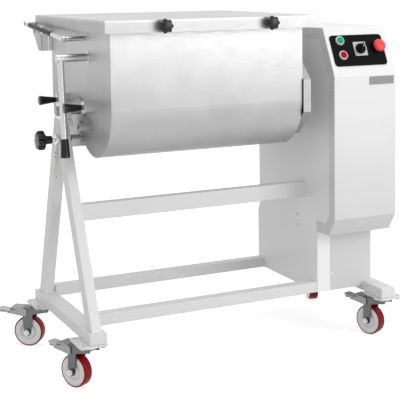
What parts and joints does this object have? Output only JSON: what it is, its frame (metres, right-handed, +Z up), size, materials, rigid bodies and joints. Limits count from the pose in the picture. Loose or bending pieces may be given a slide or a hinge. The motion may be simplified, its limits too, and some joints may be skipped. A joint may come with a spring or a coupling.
{
  "type": "meat mixer",
  "caption": "Tilting twin-shaft meat mixer: stainless tub with lid and gas springs on an A-frame, drive housing with controls, braked casters.",
  "frame": {"origin": "on the floor under the middle of the machine's outline", "axes": "+X from the A-frame to the housing, +Y from the operator's side to the back, +Z up"},
  "size_m": [1.1406, 0.6833, 1.0184],
  "materials": {
    "white_paint": "satin powder coat",
    "grey_paint": "semi-gloss enamel",
    "stainless": "fine brushed",
    "polished_steel": "polished",
    "zinc": "zinc plated",
    "black_plastic": "glossy",
    "black_plate": "satin",
    "green_cap": "glossy",
    "red_cap": "glossy",
    "tread": "cast polyurethane",
    "spring_black": "gloss enamel",
    "gland_plastic": "moulded",
    "brass": "plain"
  },
  "bodies": {
    "frame": {"foot_beams": "white_paint", "base_rails": "white_paint", "front_leg": "white_paint", "rear_leg": "white_paint", "head_plate": "white_paint", "pivot_block": "polished_steel", "upper_crossbar": "white_paint", "plunger_bush": "polished_steel", "caster_plates": "zinc", "frame_bolts": "zinc", "side_plate": "white_paint", "hood": "white_paint", "column_front": "white_paint", "right_panel": "white_paint", "back_cover": "white_paint", "trunnion_bearing": "polished_steel", "gear_reducer": "grey_paint", "motor": "grey_paint", "control_plate": "black_plate", "panel_fittings": "polished_steel", "cable_gland": "gland_plastic", "bonding_stud": "brass"},
    "tub": {"tub": "stainless", "shaft_bosses": "stainless", "gear_case": "stainless", "left_trunnion": "polished_steel", "right_trunnion": "polished_steel", "spring_studs": "polished_steel", "tilt_lever": "polished_steel", "lever_grip": "black_plastic", "hinge_brackets": "stainless"},
    "lid": {"lid": "stainless"},
    "left_lid_knob": {"left_lid_knob": "black_plastic"},
    "right_lid_knob": {"right_lid_knob": "black_plastic"},
    "left_spring_rod": {"left_spring_rod": "polished_steel"},
    "left_spring_tube": {"left_spring_tube": "spring_black"},
    "right_spring_rod": {"right_spring_rod": "polished_steel"},
    "right_spring_tube": {"right_spring_tube": "spring_black"},
    "front_mixing_shaft": {"front_mixing_shaft": "polished_steel"},
    "rear_mixing_shaft": {"rear_mixing_shaft": "polished_steel"},
    "drive_shaft": {"drive_shaft": "polished_steel"},
    "front_shaft_handle": {"front_shaft_handle": "black_plastic"},
    "rear_shaft_handle": {"rear_shaft_handle": "black_plastic"},
    "index_plunger": {"index_plunger": "black_plastic"},
    "green_button": {"green_button": "green_cap"},
    "red_button": {"red_button": "red_cap"},
    "selector_knob": {"selector_knob": "black_plastic"},
    "emergency_stop": {"emergency_stop": "red_cap"},
    "front_left_fork": {"front_left_fork": "zinc"},
    "front_left_wheel": {"front_left_wheel": "tread"},
    "rear_left_fork": {"rear_left_fork": "zinc"},
    "rear_left_wheel": {"rear_left_wheel": "tread"},
    "front_right_fork": {"front_right_fork": "zinc"},
    "front_right_wheel": {"front_right_wheel": "tread"},
    "rear_right_fork": {"rear_right_fork": "zinc"},
    "rear_right_wheel": {"rear_right_wheel": "tread"},
    "front_left_pedal": {"front_left_pedal": "zinc"},
    "rear_left_pedal": {"rear_left_pedal": "zinc"},
    "front_right_pedal": {"front_right_pedal": "zinc"},
    "rear_right_pedal": {"rear_right_pedal": "zinc"}
  },
  "joints": [
    {"name": "tub_tilt", "type": "hinge", "parent": "frame", "child": "tub", "pos_m": [-0.43962, -0.00735, 0.75], "axis": [1, 0, 0], "range_deg": [0, 60]},
    {"name": "lid_hinge", "type": "hinge", "parent": "tub", "child": "lid", "pos_m": [-0.09612, 0.32565, 0.9668], "axis": [-1, 0, 0], "range_deg": [0, 75]},
    {"name": "left_lid_knob_turn", "type": "hinge", "parent": "lid", "child": "left_lid_knob", "pos_m": [-0.25362, -0.31135, 0.9978], "axis": [0, -1, 0], "continuous": true},
    {"name": "right_lid_knob_turn", "type": "hinge", "parent": "lid", "child": "right_lid_knob", "pos_m": [0.06838, -0.31135, 0.9978], "axis": [0, -1, 0], "continuous": true},
    {"name": "left_spring_swing", "type": "hinge", "parent": "tub", "child": "left_spring_rod", "pos_m": [-0.44962, -0.05435, 0.957], "axis": [-1, 0, 0], "range_deg": [0, 1.96]},
    {"name": "left_spring_stroke", "type": "slide", "parent": "left_spring_rod", "child": "left_spring_tube", "axis": [0, 0.9964, 0.0845], "range_m": [0, 0.02433]},
    {"name": "right_spring_swing", "type": "hinge", "parent": "tub", "child": "right_spring_rod", "pos_m": [0.25738, -0.05435, 0.957], "axis": [-1, 0, 0], "range_deg": [0, 1.96]},
    {"name": "right_spring_stroke", "type": "slide", "parent": "right_spring_rod", "child": "right_spring_tube", "axis": [0, 0.9964, 0.0845], "range_m": [0, 0.02433]},
    {"name": "front_shaft_turn", "type": "hinge", "parent": "tub", "child": "front_mixing_shaft", "pos_m": [-0.38962, -0.12567, 0.77], "axis": [1, 0, 0], "continuous": true},
    {"name": "rear_shaft_turn", "type": "hinge", "parent": "tub", "child": "rear_mixing_shaft", "pos_m": [-0.38962, 0.11097, 0.77], "axis": [1, 0, 0], "continuous": true},
    {"name": "drive_shaft_turn", "type": "hinge", "parent": "tub", "child": "drive_shaft", "pos_m": [0.19738, -0.00735, 0.75], "axis": [1, 0, 0], "continuous": true},
    {"name": "front_handle_pull", "type": "slide", "parent": "tub", "child": "front_shaft_handle", "axis": [-1, 0, 0], "range_m": [0, 0.02]},
    {"name": "rear_handle_pull", "type": "slide", "parent": "tub", "child": "rear_shaft_handle", "axis": [-1, 0, 0], "range_m": [0, 0.02]},
    {"name": "plunger_slide", "type": "slide", "parent": "frame", "child": "index_plunger", "axis": [1, 0, 0], "range_m": [0, 0.008]},
    {"name": "green_button_press", "type": "slide", "parent": "frame", "child": "green_button", "axis": [0, 0.9019, -0.4319], "range_m": [0, 0.003], "stiffness_N_per_m": 600},
    {"name": "red_button_press", "type": "slide", "parent": "frame", "child": "red_button", "axis": [0, 0.9019, -0.4319], "range_m": [0, 0.003], "stiffness_N_per_m": 600},
    {"name": "selector_turn", "type": "hinge", "parent": "frame", "child": "selector_knob", "pos_m": [0.42138, -0.22661, 0.90255], "axis": [0, -0.9019, 0.4319], "range_deg": [-45, 45]},
    {"name": "emergency_stop_press", "type": "slide", "parent": "frame", "child": "emergency_stop", "axis": [0, 0.9019, -0.4319], "range_m": [0, 0.004]},
    {"name": "front_left_swivel", "type": "hinge", "parent": "frame", "child": "front_left_fork", "pos_m": [-0.45162, -0.21835, 0.1207], "axis": [0, 0, 1], "continuous": true},
    {"name": "front_left_roll", "type": "hinge", "parent": "front_left_fork", "child": "front_left_wheel", "pos_m": [-0.47415, -0.17597, 0.046], "axis": [-0.8829, -0.4695, 0], "continuous": true},
    {"name": "front_left_brake", "type": "hinge", "parent": "front_left_fork", "child": "front_left_pedal", "pos_m": [-0.47791, -0.1689, 0.1047], "axis": [-0.8829, -0.4695, 0], "range_deg": [0, 8]},
    {"name": "rear_left_swivel", "type": "hinge", "parent": "frame", "child": "rear_left_fork", "pos_m": [-0.45162, 0.20365, 0.1207], "axis": [0, 0, 1], "continuous": true},
    {"name": "rear_left_roll", "type": "hinge", "parent": "rear_left_fork", "child": "rear_left_wheel", "pos_m": [-0.48944, 0.2332, 0.046], "axis": [-0.6157, -0.788, 0], "continuous": true},
    {"name": "rear_left_brake", "type": "hinge", "parent": "rear_left_fork", "child": "rear_left_pedal", "pos_m": [-0.49575, 0.23813, 0.1047], "axis": [-0.6157, -0.788, 0], "range_deg": [0, 8]},
    {"name": "front_right_swivel", "type": "hinge", "parent": "frame", "child": "front_right_fork", "pos_m": [0.51138, -0.21835, 0.1207], "axis": [0, 0, 1], "continuous": true},
    {"name": "front_right_roll", "type": "hinge", "parent": "front_right_fork", "child": "front_right_wheel", "pos_m": [0.49496, -0.17324, 0.046], "axis": [-0.9397, -0.342, 0], "continuous": true},
    {"name": "front_right_brake", "type": "hinge", "parent": "front_right_fork", "child": "front_right_pedal", "pos_m": [0.49223, -0.16573, 0.1047], "axis": [-0.9397, -0.342, 0], "range_deg": [0, 8]},
    {"name": "rear_right_swivel", "type": "hinge", "parent": "frame", "child": "rear_right_fork", "pos_m": [0.51138, 0.20365, 0.1207], "axis": [0, 0, 1], "continuous": true},
    {"name": "rear_right_roll", "type": "hinge", "parent": "rear_right_fork", "child": "rear_right_wheel", "pos_m": [0.5278, 0.24876, 0.046], "axis": [-0.9397, 0.342, 0], "continuous": true},
    {"name": "rear_right_brake", "type": "hinge", "parent": "rear_right_fork", "child": "rear_right_pedal", "pos_m": [0.53053, 0.25627, 0.1047], "axis": [-0.9397, 0.342, 0], "range_deg": [0, 8]}
  ],
  "couplings": [
    {"joint": "left_spring_swing", "follows": "lid_hinge", "ratio": 0.025842},
    {"joint": "left_spring_stroke", "follows": "lid_hinge", "m_per_rad": 0.018431},
    {"joint": "right_spring_swing", "follows": "lid_hinge", "ratio": 0.025842},
    {"joint": "right_spring_stroke", "follows": "lid_hinge", "m_per_rad": 0.018431},
    {"joint": "rear_shaft_turn", "follows": "front_shaft_turn", "ratio": 1},
    {"joint": "drive_shaft_turn", "follows": "front_shaft_turn", "ratio": -1}
  ]
}
